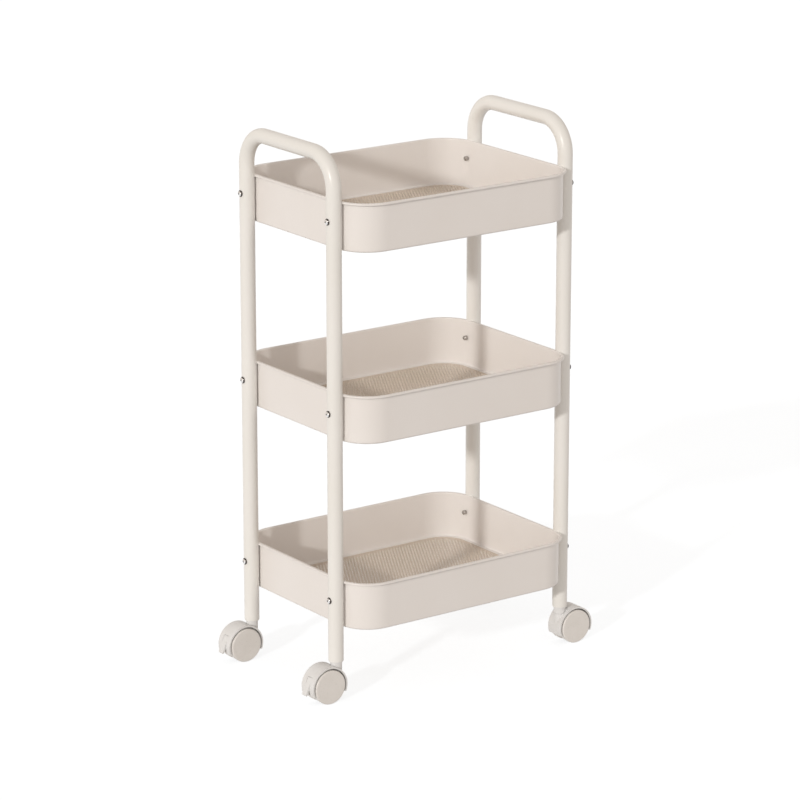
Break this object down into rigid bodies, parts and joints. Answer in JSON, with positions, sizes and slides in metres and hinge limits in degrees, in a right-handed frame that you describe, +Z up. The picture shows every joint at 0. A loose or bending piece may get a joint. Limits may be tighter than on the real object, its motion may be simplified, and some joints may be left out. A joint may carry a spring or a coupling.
{
  "type": "rolling utility cart",
  "caption": "Narrow rolling cart with rimmed sheet-metal trays on perforated floors, held between bent-tube end frames with handles, on twin-wheel swivel casters.",
  "frame": {"origin": "middle of the cart's footprint, on the floor under the wheels", "axes": "+X along the trays' long side to the right, -Y towards the front long side, +Z up"},
  "size_m": [0.4843, 0.2944, 0.7609],
  "materials": {
    "powder_coat": "satin powder coat, warm off-white",
    "perforated_coat": "satin powder coat on perforated sheet",
    "bright_steel": "zinc plated, bright",
    "insert_plastic": "moulded, satin",
    "caster_plastic": "moulded, satin",
    "wheel_plastic": "moulded, matte"
  },
  "bodies": {
    "cart": {"left_frame": "powder_coat", "right_frame": "powder_coat", "bottom_tray": "powder_coat", "middle_tray": "powder_coat", "top_tray": "powder_coat", "bottom_tray_floor": "perforated_coat", "middle_tray_floor": "perforated_coat", "top_tray_floor": "perforated_coat", "bottom_tray_screws": "bright_steel", "middle_tray_screws": "bright_steel", "top_tray_screws": "bright_steel", "bottom_tray_nuts": "bright_steel", "middle_tray_nuts": "bright_steel", "top_tray_nuts": "bright_steel", "front_left_leg_insert": "insert_plastic", "back_left_leg_insert": "insert_plastic", "front_right_leg_insert": "insert_plastic", "back_right_leg_insert": "insert_plastic", "front_left_caster_stem": "bright_steel", "back_left_caster_stem": "bright_steel", "front_right_caster_stem": "bright_steel", "back_right_caster_stem": "bright_steel", "stem_grip_rings": "bright_steel"},
    "front_left_caster": {"front_left_caster_housing": "caster_plastic", "front_left_caster_axle": "bright_steel", "front_left_brake_pin": "bright_steel"},
    "front_left_front_wheel": {"front_left_caster_front_wheel": "wheel_plastic"},
    "front_left_back_wheel": {"front_left_caster_back_wheel": "wheel_plastic"},
    "front_left_brake": {"front_left_brake_lever": "caster_plastic"},
    "back_left_caster": {"back_left_caster_housing": "caster_plastic", "back_left_caster_axle": "bright_steel", "back_left_brake_pin": "bright_steel"},
    "back_left_front_wheel": {"back_left_caster_front_wheel": "wheel_plastic"},
    "back_left_back_wheel": {"back_left_caster_back_wheel": "wheel_plastic"},
    "back_left_brake": {"back_left_brake_lever": "caster_plastic"},
    "front_right_caster": {"front_right_caster_housing": "caster_plastic", "front_right_caster_axle": "bright_steel"},
    "front_right_front_wheel": {"front_right_caster_front_wheel": "wheel_plastic"},
    "front_right_back_wheel": {"front_right_caster_back_wheel": "wheel_plastic"},
    "back_right_caster": {"back_right_caster_housing": "caster_plastic", "back_right_caster_axle": "bright_steel"},
    "back_right_front_wheel": {"back_right_caster_front_wheel": "wheel_plastic"},
    "back_right_back_wheel": {"back_right_caster_back_wheel": "wheel_plastic"}
  },
  "joints": [
    {"name": "front_left_swivel", "type": "hinge", "parent": "cart", "child": "front_left_caster", "pos_m": [-0.192, -0.103, 0.0449], "axis": [0, 0, 1], "continuous": true},
    {"name": "front_left_front_wheel_spin", "type": "hinge", "parent": "front_left_caster", "child": "front_left_front_wheel", "pos_m": [-0.211, -0.103, 0.024], "axis": [0, 1, 0], "continuous": true},
    {"name": "front_left_back_wheel_spin", "type": "hinge", "parent": "front_left_caster", "child": "front_left_back_wheel", "pos_m": [-0.211, -0.103, 0.024], "axis": [0, 1, 0], "continuous": true},
    {"name": "front_left_brake_tip", "type": "hinge", "parent": "front_left_caster", "child": "front_left_brake", "pos_m": [-0.224, -0.103, 0.026], "axis": [0, -1, 0], "range_deg": [0, 10]},
    {"name": "back_left_swivel", "type": "hinge", "parent": "cart", "child": "back_left_caster", "pos_m": [-0.192, 0.103, 0.0449], "axis": [0, 0, 1], "continuous": true},
    {"name": "back_left_front_wheel_spin", "type": "hinge", "parent": "back_left_caster", "child": "back_left_front_wheel", "pos_m": [-0.211, 0.103, 0.024], "axis": [0, 1, 0], "continuous": true},
    {"name": "back_left_back_wheel_spin", "type": "hinge", "parent": "back_left_caster", "child": "back_left_back_wheel", "pos_m": [-0.211, 0.103, 0.024], "axis": [0, 1, 0], "continuous": true},
    {"name": "back_left_brake_tip", "type": "hinge", "parent": "back_left_caster", "child": "back_left_brake", "pos_m": [-0.224, 0.103, 0.026], "axis": [0, -1, 0], "range_deg": [0, 10]},
    {"name": "front_right_swivel", "type": "hinge", "parent": "cart", "child": "front_right_caster", "pos_m": [0.192, -0.103, 0.0449], "axis": [0, 0, 1], "continuous": true},
    {"name": "front_right_front_wheel_spin", "type": "hinge", "parent": "front_right_caster", "child": "front_right_front_wheel", "pos_m": [0.211, -0.103, 0.024], "axis": [0, 1, 0], "continuous": true},
    {"name": "front_right_back_wheel_spin", "type": "hinge", "parent": "front_right_caster", "child": "front_right_back_wheel", "pos_m": [0.211, -0.103, 0.024], "axis": [0, 1, 0], "continuous": true},
    {"name": "back_right_swivel", "type": "hinge", "parent": "cart", "child": "back_right_caster", "pos_m": [0.192, 0.103, 0.0449], "axis": [0, 0, 1], "continuous": true},
    {"name": "back_right_front_wheel_spin", "type": "hinge", "parent": "back_right_caster", "child": "back_right_front_wheel", "pos_m": [0.211, 0.103, 0.024], "axis": [0, 1, 0], "continuous": true},
    {"name": "back_right_back_wheel_spin", "type": "hinge", "parent": "back_right_caster", "child": "back_right_back_wheel", "pos_m": [0.211, 0.103, 0.024], "axis": [0, 1, 0], "continuous": true}
  ]
}
